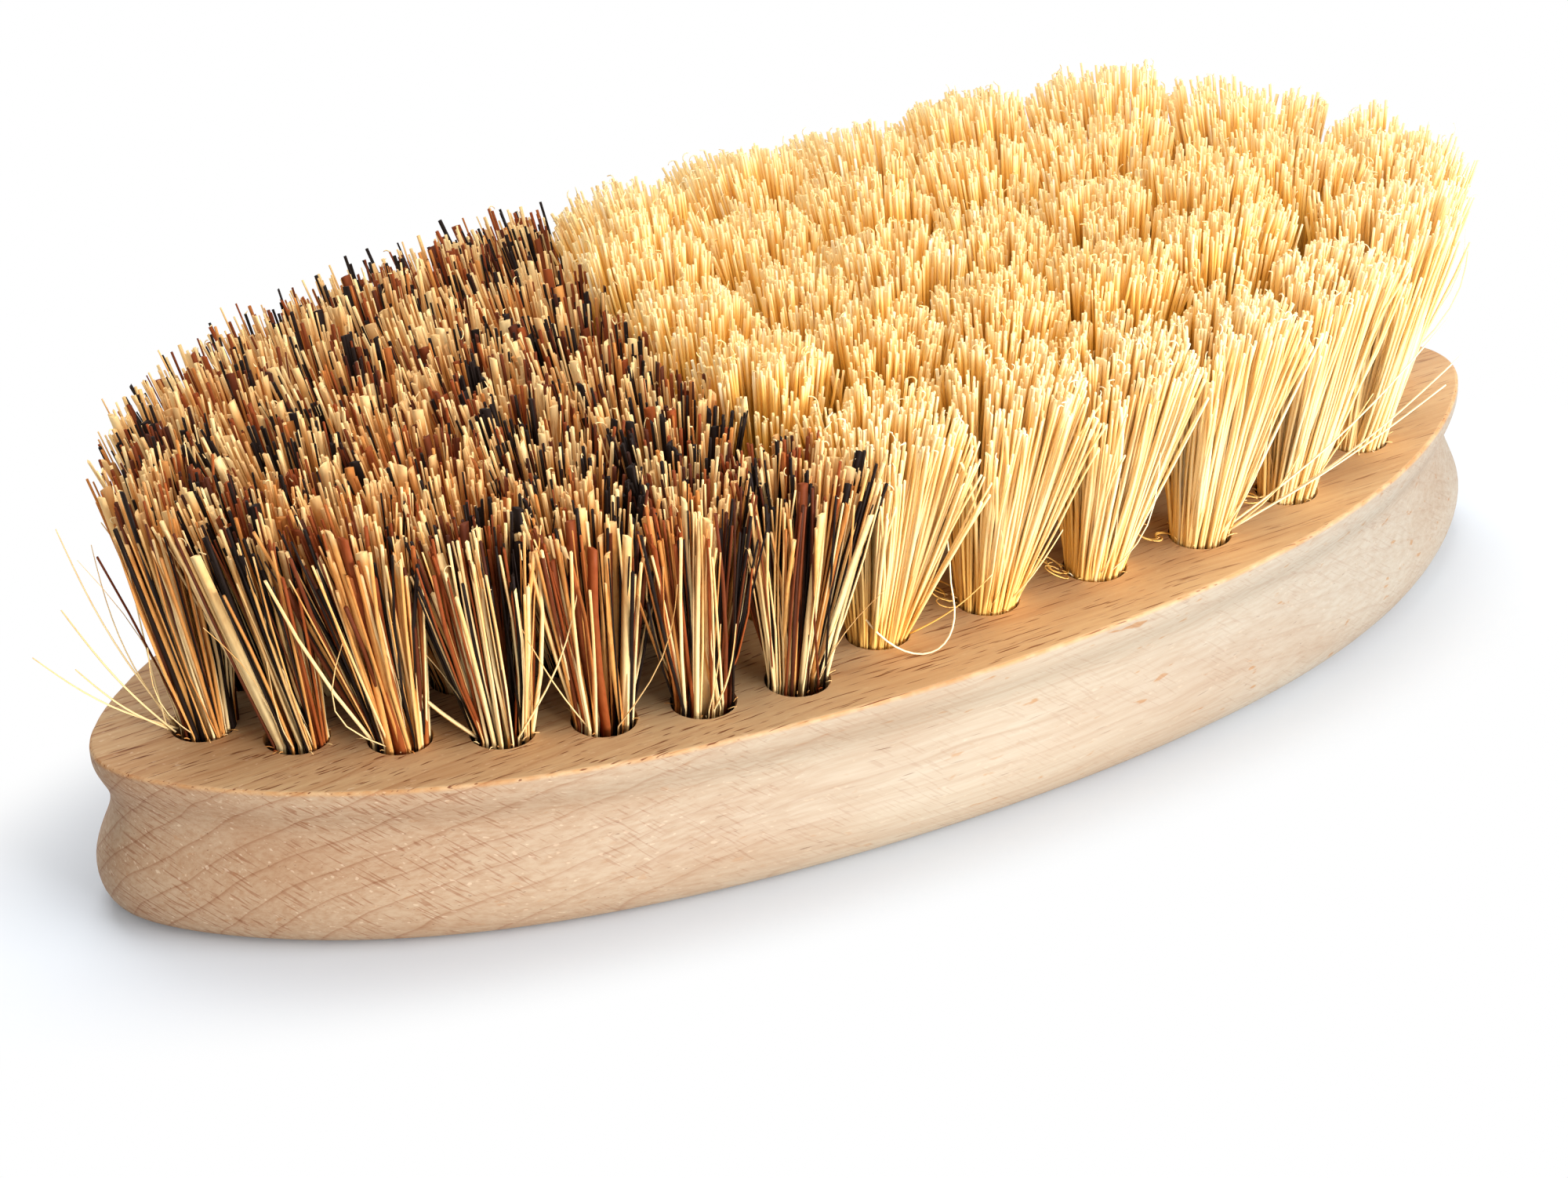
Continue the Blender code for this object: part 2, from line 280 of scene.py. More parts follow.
def tip_height(start, places, longest):
    """Trimmed height, or less where a fibre leans so far that it isn't long enough to reach it."""
    reach = np.linalg.norm(places - start[:, :2], axis=1)
    return np.minimum(trimmed_height(places), FACE_Z + np.sqrt(np.maximum(longest**2 - reach**2, 1e-6)))


# Closed prisms along paths, which the fibres are made of


class Strands:
    """Gathers closed prisms until they are made into one mesh."""

    def __init__(self):
        self.points, self.sides, self.caps = [], [], []
        self.tone, self.along, self.materials, self.maps = [], [], [], []
        self.used = self.prisms = 0

    def add(self, paths, width, reference, sides, tone, flatness=1.0, material=0, taper=1.0):
        """One prism along each path. Width, tone and flatness are one value a path, or one for all."""
        count, rings, _ = paths.shape
        width, tone, flatness = (np.broadcast_to(value, count) for value in (width, tone, flatness))
        tangent = unit(np.gradient(paths, axis=1))
        reference = reference[:, None]
        across = unit(reference - (reference * tangent).sum(axis=2, keepdims=True) * tangent)
        second = np.cross(tangent, across)
        turn = math.tau * np.arange(sides) / sides
        share = np.linspace(0.0, 1.0, rings)
        girth = width[:, None] / 2 * (1.0 - (1.0 - taper) * share**2)
        beside, above = np.cos(turn)[:, None], np.sin(turn)[:, None] * flatness[:, None, None, None]
        ring = across[:, :, None] * beside + second[:, :, None] * above
        points = paths[:, :, None] + ring * girth[:, :, None, None]
        grid = self.used + np.arange(count * rings * sides).reshape(count, rings, sides)
        turned = np.roll(grid, -1, axis=2)
        quads = np.stack((grid[:, :-1], turned[:, :-1], turned[:, 1:], grid[:, 1:]), axis=-1)
        self.points.append(points.reshape(-1, 3))
        self.sides.append(quads.reshape(-1, 4))
        self.caps += [grid[:, 0, ::-1], grid[:, -1, :]]
        self.tone.append(np.repeat(tone, rings * sides))
        self.along.append(np.tile(np.repeat(share, sides), count))
        self.materials.append((len(self.sides[-1]), 2 * count, material))
        self.maps.append((count, rings, sides, self.prisms))
        self.used += count * rings * sides
        self.prisms += count

    def map_corners(self):
        """Places on the bake map for the corners of the side faces and of the caps: a cell a prism."""
        cells = math.ceil(math.sqrt(self.prisms))
        margin, wide, high, cap_radius = 0.06, 0.88, 0.74, 0.05
        side_corners, cap_corners = [], []
        for count, rings, sides, first in self.maps:
            number = first + np.arange(count)
            origin = np.stack((number % cells, number // cells), axis=-1) / cells
            u = margin + wide * np.arange(sides + 1) / sides
            v = margin + high * np.arange(rings) / (rings - 1)
            grid = np.stack(np.meshgrid(u, v), axis=-1)
            local = np.stack((grid[:-1, :-1], grid[:-1, 1:], grid[1:, 1:], grid[1:, :-1]), axis=2)
            corners = origin[:, None, None, None, :] + local[None] / cells
            side_corners.append(corners.reshape(-1, 2))
            turn = math.tau * np.arange(sides) / sides
            disc = np.stack((np.cos(turn), np.sin(turn)), axis=-1) * cap_radius
            for middle, way in (((0.25, 0.9), -1), ((0.75, 0.9), 1)):
                local_cap = np.array(middle) + disc[::way]
                cap_corners.append((origin[:, None, :] + local_cap[None] / cells).reshape(-1, 2))
        return np.concatenate(side_corners + cap_corners)

    def mesh(self, name):
        """The mesh of all prisms, with the marks that its materials read and a map for baking."""
        mesh = bpy.data.meshes.new(name)
        faces = [face for part in (*self.sides, *self.caps) for face in part.tolist()]
        mesh.from_pydata(np.concatenate(self.points), (), faces)
        mesh.polygons.foreach_set("use_smooth", np.arange(len(faces)) < sum(map(len, self.sides)))
        kinds = [np.full(row[part], row[2]) for part in (0, 1) for row in self.materials]
        mesh.polygons.foreach_set("material_index", np.concatenate(kinds).astype(np.int32))
        for mark, values in (("tone", self.tone), ("along", self.along)):
            mesh.attributes.new(mark, "FLOAT", "POINT").data.foreach_set("value", np.concatenate(values))
        bake_map = mesh.uv_layers.new(name="OFBake")
        bake_map.data.foreach_set("uv", self.map_corners().ravel())
        return mesh


def in_scene(data):
    """A new object in the scene, with the name of the mesh, lamp or camera that it holds."""
    made = bpy.data.objects.new(data.name, data)
    bpy.context.scene.collection.objects.link(made)
    return made


def show(mesh, slot, *nodes):
    """Puts a mesh in the scene as a piece of the brush that stands for the named nodes."""
    piece = in_scene(mesh)
    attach(piece, "root")
    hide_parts(*nodes)


# Fibres

BUNDLE_GAP = 0.35 * MM  # between a packed bundle and its hole
ROOT_SHIFT = (0.12 * MM, 0.0)  # how far bundles lie over to one side of their holes
ROOT_Z = FACE_Z + 0.1 * MM  # where fibres leave the bundle and begin to spread
ROOT_DEPTH = 2.6  # how far below that their paths begin, in millimetres
SECTORS = 14  # into which a bundle is divided while its fibres are packed
STRAYS = 2  # fibres of a rim tuft that lean out further than the rest

# What differs from kind to kind: the first random seed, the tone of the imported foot, how far tips cross
# over to the next tuft in millimetres, and the number and width in millimetres of the frays
TUFT_TRAITS = {"union": (400, 0.2, 1.5, 9, 0.11), "tampico": (700, 0.1, 0.9, 60, 0.13)}


def headed(turn):
    """Level directions at these angles, or one at one angle."""
    return np.stack((np.cos(turn), np.sin(turn), np.zeros(np.shape(turn))), axis=-1)


def any_way(rng, count):
    """Random level directions."""
    return headed(rng.random(count) * math.tau)


def sway(rng, count, usual):
    """Random level shifts that are usually no longer than this."""
    return any_way(rng, count) * rng.normal(0.0, usual, count)[:, None]


def level(places, z):
    """Points from places seen from above and heights."""
    return np.concatenate((places, np.broadcast_to(z, places.shape[:-1])[..., None]), axis=-1)


def tip_places(rng, tuft, settings, overlap):
    """Where a tuft's tips stand, seen from above: nearer to it than to others, inside the field's outline."""
    tries, crowding, outline_wander, border_wander, border_swing = 4 * settings.fibres, 0.55, 0.035, 0.7 * MM, 3.0 * MM
    kept = np.zeros((0, 2))
    while len(kept) < settings.fibres:
        radius = settings.reach * rng.random(tries) ** crowding
        turn = rng.random(tries) * math.tau
        places = tuft.top + radius[:, None] * headed(turn)[:, :2]
        inside = radius < to_nearest_other(tuft, places) + np.abs(rng.normal(0.0, overlap, tries))
        inside &= field_share(places) < rng.normal(1.0, outline_wander, tries)
        if tuft.kind == "union":
            border = rng.normal(UNION_END * MM, border_wander, tries)
            inside &= places[:, 0] < border - border_swing * far_side(places[:, 1])
        kept = np.concatenate((kept, places[inside]))
    return kept[: settings.fibres]


def rooted(rng, tuft, places, root_radius):
    """Where fibres with these tips come out of the hole: on the tips' side of it, packed evenly in its circle."""
    way = places - tuft.top
    far = np.linalg.norm(way, axis=1)
    sector = (np.arctan2(way[:, 1], way[:, 0]) / math.tau * SECTORS).astype(int) % SECTORS
    out = np.zeros(len(far))
    for number in range(SECTORS):
        held = np.flatnonzero(sector == number)
        rank = np.argsort(np.argsort(far[held]))
        out[held] = np.sqrt((rank + 0.5) / max(len(held), 1))
    packed = way / np.maximum(far, 1e-9)[:, None] * out[:, None]
    unevenness = 0.07
    packed += rng.normal(0.0, unevenness, packed.shape)
    packed /= np.maximum(np.linalg.norm(packed, axis=1, keepdims=True), 1.0)
    return level(tuft.mouth[:2] + packed * root_radius + ROOT_SHIFT, ROOT_Z)


def bowed(start, end, rings, bow):
    """Paths from start to end that stand off by the bow halfway."""
    share = np.linspace(0.0, 1.0, rings)[None, :, None]
    return start[:, None] + (end - start)[:, None] * share + bow[:, None] * np.sin(math.pi * share)


def fan(tuft, roots, tips, rings, bow):
    """Paths that come up the hole along its axis and go on nearly straight to the tips."""
    deep = roots - tuft.axis * ROOT_DEPTH * MM
    return np.concatenate((deep[:, None], bowed(roots, tips, rings, bow)), axis=1)


def clump_numbers(rng, places, clumps):
    """The clump that each place belongs to: the nearest of some of the places."""
    middles = places[rng.integers(0, len(places), clumps)]
    return np.linalg.norm(places[:, None] - middles[None], axis=2).argmin(axis=1)


def short_by(rng, count, uneven, share, most):
    """How far tips fall short: unevenly, and for a share of them by up to the most, in millimetres, more."""
    uneven_part = np.abs(rng.normal(0.0, uneven, count))
    return uneven_part + (rng.random(count) < share) * rng.uniform(0.5, most, count) * MM


def add_bundle(strands, tuft, tone):
    """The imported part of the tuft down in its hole, and the wire anchor that holds it."""
    block = brush_settings().block
    radius, depth = block.hole_radius - BUNDLE_GAP, block.hole_depth
    top_depth, foot_gap, wire_height, wire_bite, wire_width = 2.2, 0.3 * MM, 2.2 * MM, 0.6 * MM, 1.6 * MM
    top = tuft.mouth - tuft.axis * top_depth * MM
    bottom = tuft.mouth - tuft.axis * (depth - foot_gap)
    strands.add(np.linspace(bottom, top, 3)[None], 2 * radius, np.array([[1.0, 0.0, 0.0]]), 14, tone)
    middle = tuft.mouth - tuft.axis * (depth - wire_height)
    reach = (radius + wire_bite) * np.array((1.0, 0.0, -tuft.axis[0] / tuft.axis[2]))
    wire = np.linspace(middle - reach, middle + reach, 2)[None]
    strands.add(wire, wire_width, tuft.axis[None], 4, 0.5, flatness=0.3, material=1)


def union_fibres(rng, strands, tuft, settings, places, roots):
    """Straight, stiff, mixed fibres that fan out like a broom. Returns their paths."""
    count, clumps, alike_share, ribbon_share = settings.fibres, 26, 0.55, 0.09
    over_trim, outline_fall = 1.5 * MM, 3.4
    fall = short_by(rng, count, settings.uneven, 0.12, 3.5)
    fall += rng.uniform(0.0, outline_fall, count) * MM * rise(field_share(places), 0.4, 0.6)
    tips = level(places, tip_height(roots, places, settings.longest) + over_trim - fall)
    paths = fan(tuft, roots, tips, 4, sway(rng, count, 0.35 * MM))
    clump = clump_numbers(rng, places, clumps)
    clump_tone = rng.random(clumps)
    alike = rng.random(count) < alike_share
    near_clump = np.clip(clump_tone[clump] + rng.normal(0.0, 0.04, count), 0.0, 1.0)
    tone = np.where(alike, near_clump, rng.random(count))
    ribbon = rng.random(count) < ribbon_share
    ribbon_width = settings.ribbon * rng.uniform(0.7, 1.2, count)
    width = np.where(ribbon, ribbon_width, settings.width * rng.uniform(0.5, 1.5, count))
    strands.add(paths, width, any_way(rng, count), 4, tone, np.where(ribbon, 0.3, 0.85), taper=0.9)
    return paths


def tampico_fibres(rng, strands, tuft, settings, places, roots):
    """Fine pale fibres that flare out, with clumped and curled ends. Returns their paths."""
    count, clumps, rings, curled_share = settings.fibres, 34, 7, 0.3
    over_trim, outline_fall, gathering = 2.6 * MM, 1.8 * MM, 0.25
    clump = clump_numbers(rng, places, clumps)
    held = [places[clump == index] if (clump == index).any() else places[:1] for index in range(clumps)]
    middle = np.stack([part.mean(axis=0) for part in held])
    places = places + (middle[clump] - places) * gathering
    inward = to_nearest_other(tuft, places) - np.linalg.norm(places - tuft.top, axis=1)
    edge = np.clip(1.0 - inward / (3.2 * MM), 0.0, 1.3)
    row = np.clip(np.abs(places[:, 1] - tuft.top[1]) / (4.6 * MM), 0.0, 1.3)
    row *= np.clip(1.0 - inward / (6.0 * MM), 0.0, 1.0)
    fall = short_by(rng, count, settings.uneven, 0.08, 3.0)
    fall += outline_fall * rise(field_share(places), 0.4, 0.6)
    clump_fall = rng.normal(0.0, 0.4 * MM, clumps)[clump]
    fall += (1.3 * edge**2 + 1.9 * row**2) * MM + clump_fall + rng.normal(0.0, 0.35 * MM)
    longest = settings.longest + 2.2 * MM * back_crest(places)
    tips = level(places, tip_height(roots, places, longest) + over_trim - fall)
    paths = fan(tuft, roots, tips, rings, sway(rng, count, 0.2 * MM))
    share = np.linspace(0.0, 1.0, rings + 1)[None, :, None]
    for _ in range(2):
        swing = sway(rng, count, 0.10 * MM)
        phase = rng.random(count)[:, None, None]
        beats = rng.uniform(0.6, 1.8, count)[:, None, None]
        paths += swing[:, None] * np.sin(math.tau * (beats * share + phase)) * share
    curl = any_way(rng, count) * (rng.gamma(1.2, 0.3 * MM, count) * (rng.random(count) < curled_share))[:, None]
    paths += curl[:, None] * rise(share, 0.72, 0.28) ** 1.5
    width = settings.width * rng.uniform(0.75, 1.3, count)
    tone = np.clip(rng.random(count) * 0.75 + 0.2 * rng.random(clumps)[clump], 0.0, 0.9)
    strands.add(paths, width, any_way(rng, count), 4, tone, 0.9, taper=0.85)
    return paths


# Single fibres that came loose: the node they belong to, how many, their heading and their tilt from
# upright in degrees, their length, spread and width in millimetres, and their tone
LOOSE_FIBRES = (
    ("union_tuft_01", 3, 150, 20, 19.0, 2.5, 0.16, 0.97),
    ("union_tuft_01", 3, 175, 36, 11.0, 2.0, 0.20, 0.85),
    ("union_tuft_07", 1, 177, 34, 15.5, 0.0, 0.34, 0.78),
    ("tampico_tuft_02", 1, -40, 48, 9.5, 0.0, 0.16, 0.05),
    ("tampico_tuft_08", 3, -31, 46, 26.0, 1.8, 0.20, 0.97),
)
HANGING_LOOP = {"node": "tampico_tuft_02", "heading": -32, "half_width": 4.2, "drop": 6.0, "width": 0.20}


def add_loose(rng, strands, tuft):
    """The loose fibres that belong to this tuft, a little bowed."""
    for node, count, heading, tilt, run, spread, width, tone in LOOSE_FIBRES:
        if node != tuft.node:
            continue
        way, lean = headed(math.radians(heading)), math.radians(tilt)
        start = tuft.mouth + way * 2.3 * MM + rng.normal(0.0, 0.3 * MM, (count, 3)) * (1.0, 1.0, 0.0)
        ahead = way * math.sin(lean) + UP * math.cos(lean)
        end = start + (ahead * run + rng.normal(0.0, 1.0, (count, 3)) * spread) * MM
        bow = (way * 0.5 - UP * 0.6 + any_way(rng, count) * 0.4) * MM
        strands.add(bowed(start, end, 12, bow), width * MM, any_way(rng, count), 4, tone, taper=0.6)
    if tuft.node == HANGING_LOOP["node"]:
        add_hanging_loop(strands, tuft)


def add_hanging_loop(strands, tuft):
    """The pale fibre that hangs in a loop down to the face in front of its tuft."""
    way, drop = headed(math.radians(HANGING_LOOP["heading"])), HANGING_LOOP["drop"]
    front = np.cross(way, UP)
    angles = np.linspace(0.97 * math.pi, 2.12 * math.pi, 22)[:, None]
    middle = tuft.mouth + way * 2.2 * MM + front * 3.2 * MM + UP * (drop + 0.25) * MM
    hang = drop * np.sin(angles) * np.where(np.sin(angles) > 0.0, 2.2, 1.0)
    path = middle + (way * np.cos(angles) * HANGING_LOOP["half_width"] + UP * hang) * MM
    path += (way * 1.6 + front * 0.8) * np.maximum(-np.sin(angles), 0.0) * MM
    strands.add(path[None], HANGING_LOOP["width"] * MM, front[None], 4, 0.97, taper=0.6)


def add_splinters(rng, strands, tuft):
    """Short pale ends that stand round the mouth of the hole."""
    count = 9
    way = any_way(rng, count)
    start = level(tuft.mouth[:2] + way[:, :2] * rng.uniform(2.3, 2.6, count)[:, None] * MM, FACE_Z - 0.05 * MM)
    lift = UP * rng.uniform(0.1, 0.6, count)[:, None]
    end = start + (way * rng.uniform(0.3, 1.0, count)[:, None] + lift) * MM
    paths = np.stack((start, (start + end) / 2 + (0.0, 0.0, 0.08 * MM), end), axis=1)
    strands.add(paths, rng.uniform(0.08, 0.16, count) * MM, way, 3, rng.uniform(0.3, 1.0, count), taper=0.5)


def add_curls(rng, strands, tuft):
    """Thin curls that lie on the face beside the hole, on the side of the union tufts."""
    count, rings = 5, 12
    aside = np.array((-0.88, 0.47, 0.0)) + rng.normal(0.0, 0.3, (count, 3)) * (1.0, 1.0, 0.0)
    forward = np.cross(aside, UP)
    start = tuft.mouth + aside * 2.4 * MM + (0.0, 0.0, 0.1 * MM)
    angles = rng.uniform(3.0, 6.0, count)[:, None] * np.linspace(0.0, 1.0, rings)[None]
    radius = rng.uniform(0.5, 1.1, count)[:, None] * MM
    out = (radius * (1.0 - np.cos(angles)) * 1.1)[..., None] * aside[:, None]
    ahead = (radius * np.sin(angles) * rng.choice((-1.0, 1.0), count)[:, None])[..., None] * forward[:, None]
    lift = (rng.uniform(0.2, 1.6, count)[:, None] * MM * np.sin(angles / 2.2) ** 2)[..., None] * UP
    paths = start[:, None] + out + ahead + lift
    strands.add(paths, rng.uniform(0.12, 0.2, count) * MM, aside, 3, rng.uniform(0.0, 0.3, count), taper=0.6)


def add_frays(rng, strands, paths, count, width):
    """Thin pale curls at the ends of some fibres."""
    rings = 8
    start = paths[rng.integers(0, len(paths), count), -1]
    ahead = unit(any_way(rng, count) * 0.8 + UP * 0.6)
    aside = unit(np.cross(ahead, any_way(rng, count)))
    radius = rng.uniform(0.2, 0.6, count) * MM
    angles = rng.uniform(0.7, 2.6, count)[:, None] * np.linspace(0.0, 1.0, rings)[None]
    curve = np.sin(angles)[..., None] * ahead[:, None] + (1.0 - np.cos(angles))[..., None] * aside[:, None]
    loops = start[:, None] + radius[:, None, None] * curve
    widths = width * rng.uniform(0.8, 1.3, count)
    strands.add(loops, widths, np.cross(ahead, aside), 3, rng.uniform(0.94, 1.0, count), taper=0.7)


def add_strays(rng, strands, tuft, settings):
    """Loose fibres that lean out over the rim further than the rest of the tuft."""
    way = headed(math.atan2(*tuft.outward[::-1]) + rng.normal(0.0, 0.75, STRAYS))
    tilt = np.radians(rng.uniform(20.0, 34.0, STRAYS))[:, None]
    roots = level(tuft.mouth[:2] + way[:, :2] * settings.root_radius * 0.8, ROOT_Z)
    run = rng.uniform(11.0, 19.0, STRAYS)[:, None] * MM
    tips = roots + run * (way * np.sin(tilt) + UP * np.cos(tilt))
    bow = way * rng.normal(0.6 * MM, 0.8 * MM, STRAYS)[:, None] + any_way(rng, STRAYS) * 0.9 * MM
    paths = fan(tuft, roots, tips, 7, bow)
    width = settings.width * rng.uniform(0.4, 0.75, STRAYS)
    strands.add(paths, width, any_way(rng, STRAYS), 3, rng.uniform(0.55, 1.0, STRAYS), taper=0.5)


def tuft_mesh(tuft, add_fibres):
    """A whole tuft: its packed foot, its fibres and what stands loose on them and round them."""
    settings = getattr(brush_settings(), tuft.kind)
    seed, tone, overlap, frays, fray_width = TUFT_TRAITS[tuft.kind]
    rng = np.random.default_rng(seed + tuft.number)
    strands = Strands()
    add_bundle(strands, tuft, tone)
    places = tip_places(rng, tuft, settings, overlap * MM)
    roots = rooted(rng, tuft, places, settings.root_radius)
    paths = add_fibres(rng, strands, tuft, settings, places, roots)
    add_frays(rng, strands, paths, frays, fray_width * MM)
    if tuft.at_rim:
        add_strays(rng, strands, tuft, settings)
        add_splinters(rng, strands, tuft)
        if tuft.kind == "tampico":
            add_curls(rng, strands, tuft)
    add_loose(rng, strands, tuft)
    return strands.mesh(f"{tuft.kind}_bristles_{tuft.number:02d}")


# The block


def rim_point(turn, block):
    """Point of the rim of the bristle face, seen from above."""
    half_length = (BLOCK_HIGH.x - BLOCK_LOW.x) / 2 - block.belly
    half_width = (BLOCK_HIGH.y - BLOCK_LOW.y) / 2 - block.belly
    pull = 1.0 - block.end_taper * abs(math.cos(turn)) ** 6
    return Vector((half_length * math.cos(turn), half_width * math.sin(turn) * pull))


def rim_with_normals(steps, block):
    """(point, outward direction) pairs round the rim."""
    pairs = []
    for index in range(steps):
        turn = math.tau * index / steps
        tangent = rim_point(turn + 0.001, block) - rim_point(turn - 0.001, block)
        pairs.append((rim_point(turn, block), Vector((tangent.y, -tangent.x)).normalized()))
    return pairs


def side_profile(block):
    """(offset from the rim, height, wander) from the underside up to the bristle face."""
    profile = []
    base_steps, groove_steps, lip_steps = 10, 12, 5
    for step in range(base_steps + 1):
        turn = math.pi / 2 * step / base_steps
        inset = block.base_width * (1.0 - math.sin(turn))
        profile.append((block.belly - inset, block.base_height * (1.0 - math.cos(turn)), 0.0))
    groove_z, lip_z = FACE_Z - block.groove_drop, FACE_Z - block.lip
    blends = (
        (block.base_height, groove_z, block.belly, -block.groove_depth),
        (groove_z, lip_z, -block.groove_depth, 0.0),
    )
    for low, high, start, end in blends:
        for step in range(1, groove_steps + 1):
            share = step / groove_steps
            blend = (1.0 - math.cos(math.pi * share)) / 2
            profile.append((start + (end - start) * blend, low + (high - low) * share, 0.0))
    for step in range(lip_steps + 1):
        turn = math.pi / 2 * step / lip_steps
        wander = 1.0 if 0 < step < lip_steps else 0.4
        inset = block.lip_round * (1.0 - math.cos(turn))
        profile.append((-inset, FACE_Z - block.lip_round * (1.0 - math.sin(turn)), wander))
    return profile


def add_closed_shape(bm, rings):
    """A closed shape from rings of as many points each, the lowest first."""
    rings = [[bm.verts.new(point) for point in ring] for ring in rings]
    for below, above in zip(rings, rings[1:]):
        for index in range(len(below)):
            following = (index + 1) % len(below)
            bm.faces.new((below[index], below[following], above[following], above[index]))
    bm.faces.new(rings[-1])
    bm.faces.new(reversed(rings[0]))


def block_shell(block):
    """The block without its holes."""
    rim_steps, wander_length = 320, 1.1 * MM
    rim = rim_with_normals(rim_steps, block)
    rings = []
    for offset, z, wander in side_profile(block):
        ring = []
        for point, normal in rim:
            place = point + normal * offset
            if wander:
                shift = noise.noise(Vector((place.x, place.y, z)) / wander_length) * block.fuzz * wander
                place += normal * shift
            ring.append((place.x, place.y, z))
        rings.append(ring)
    bm = bmesh.new()
    add_closed_shape(bm, rings)
    bmesh.ops.recalc_face_normals(bm, faces=bm.faces)
    return bm


def hole_cutter(tufts, block):
    """One drill shape for each tuft, a little wider where it breaks the face."""
    bm = bmesh.new()
    sides = 30
    turns = [math.tau * index / sides for index in range(sides)]
    circle = [(math.cos(turn), math.sin(turn)) for turn in turns]
    radius = block.hole_radius
    stops = ((-block.hole_depth, radius), (-0.18 * MM, radius), (0.0, radius + 0.1 * MM), (2.0 * MM, radius + 0.9 * MM))
    for tuft in tufts:
        tilt = Vector((0, 0, 1)).rotation_difference(Vector(tuft.axis))
        mouth = Vector(tuft.mouth)
        rings = [[mouth + tilt @ Vector((x * reach, y * reach, along)) for x, y in circle] for along, reach in stops]
        add_closed_shape(bm, rings)
    bmesh.ops.recalc_face_normals(bm, faces=bm.faces)
    return bm


def object_of(bm, name):
    """A linked object from a bmesh."""
    mesh = bpy.data.meshes.new(name)
    bm.to_mesh(mesh)
    bm.free()
    return in_scene(mesh)


def drilled(shell, cutter, name):
    """The mesh of the shell with the cutter taken out. Both helper objects are removed."""
    boolean = shell.modifiers.new("holes", "BOOLEAN")
    boolean.operation = "DIFFERENCE"
    boolean.solver = "EXACT"
    boolean.object = cutter
    graph = bpy.context.evaluated_depsgraph_get()
    mesh = bpy.data.meshes.new_from_object(shell.evaluated_get(graph))
    mesh.name = name
    for helper in (shell, cutter):
        bpy.data.objects.remove(helper)
    sharpest_smooth = math.radians(38)
    mesh.shade_smooth()
    mesh.set_sharp_from_angle(angle=sharpest_smooth)
    return mesh


# Shader helpers


class Shade:
    """Adds nodes to one node tree and links them."""

    def __init__(self, tree):
        self.tree = tree

    def add(self, kind, values=(), **settings):
        """A new shader node's outputs. It has these settings, and its inputs take these values."""
        node = self.tree.nodes.new("ShaderNode" + kind)
        for name, value in settings.items():
            setattr(node, name, value)
        return self.feed(node, values)

    def feed(self, node, values):
        """Links or sets a node's inputs, in their order or by name, and returns its outputs."""
        for key, value in values.items() if isinstance(values, dict) else enumerate(values):
            socket = node.inputs[key]
            if isinstance(value, bpy.types.NodeSocket):
                self.tree.links.new(value, socket)
            else:
                socket.default_value = (*value, 1.0) if socket.type == "RGBA" else value
        return node.outputs

    def math(self, operation, result, *values):
        """The first value with each of the others taken in by a Math node in turn."""
        for value in values:
            result = self.add("Math", (result, value), operation=operation)[0]
        return result

    def plus(self, *values):
        """The sum of values."""
        return self.math("ADD", *values)

    def less(self, *values):
        """The first value less the others."""
        return self.math("SUBTRACT", *values)

    def times(self, *values):
        """The product of values."""
        return self.math("MULTIPLY", *values)

    def turned(self, first, second, turn):
        """Two coordinates turned by an angle."""
        cos, sin = math.cos(turn), math.sin(turn)
        ahead = self.plus(self.times(first, cos), self.times(second, sin))
        return ahead, self.less(self.times(second, cos), self.times(first, sin))

    def split(self, place):
        """The x, y and z of a place."""
        return self.add("SeparateXYZ", (place,))

    def join(self, *values):
        """A place from its x, y and z."""
        return self.add("CombineXYZ", values)[0]

    def stretch(self, place, factors):
        """A place multiplied by a factor on each axis."""
        return self.add("VectorMath", (place, factors), operation="MULTIPLY")[0]

    def noise(self, place, factors, detail=2.0, roughness=0.5):
        """Noise of about 0 to 1 at a place that is first multiplied by factors."""
        values = {"Vector": self.stretch(place, factors), "Scale": 1.0, "Detail": detail, "Roughness": roughness}
        return self.add("TexNoise", values, noise_dimensions="3D")["Fac"]

    def span(self, value, low, high, to_low=0.0, to_high=1.0, kind="SMOOTHSTEP"):
        """A value carried from one range to another, held at the ends."""
        return self.add("MapRange", (value, low, high, to_low, to_high), interpolation_type=kind, clamp=True)[0]

    def tint(self, share, below, above, blend="MIX"):
        """Two colours mixed by a share."""
        return self.add("Mix", {0: share, 6: below, 7: above}, data_type="RGBA", blend_type=blend)[2]

    def stain(self, tone, share, *display):
        """A colour multiplied, by a share, with display values of 0 to 255."""
        return self.tint(share, tone, srgb(*display), "MULTIPLY")

    def ramp(self, share, *stops):
        """A colour from a ramp of (place, colour) stops."""
        node = self.tree.nodes.new("ShaderNodeValToRGB")
        elements = node.color_ramp.elements
        elements[1].position = stops[-1][0]
        for place, _ in stops[1:-1]:
            elements.new(place)
        for element, (place, tone) in zip(elements, stops):
            element.position, element.color = place, (*tone, 1.0)
        return self.feed(node, (share,))[0]

    def bump(self, height, distance, strength):
        """A normal from a height."""
        return self.add("Bump", {"Height": height, "Distance": distance, "Strength": strength})["Normal"]


def new_group(name, outputs, numbers):
    """(group, its Shade, its inputs, its output node). Its inputs are a place and these numbers."""
    group = bpy.data.node_groups.new(name, "ShaderNodeTree")
    group.interface.new_socket("Place", in_out="INPUT", socket_type="NodeSocketVector")
    for label, value in numbers.items():
        socket = group.interface.new_socket(label, in_out="INPUT", socket_type="NodeSocketFloat")
        socket.default_value = value
    for label in outputs:
        group.interface.new_socket(label, in_out="OUTPUT", socket_type="NodeSocketFloat")
    return group, Shade(group), group.nodes.new("NodeGroupInput").outputs, group.nodes.new("NodeGroupOutput")


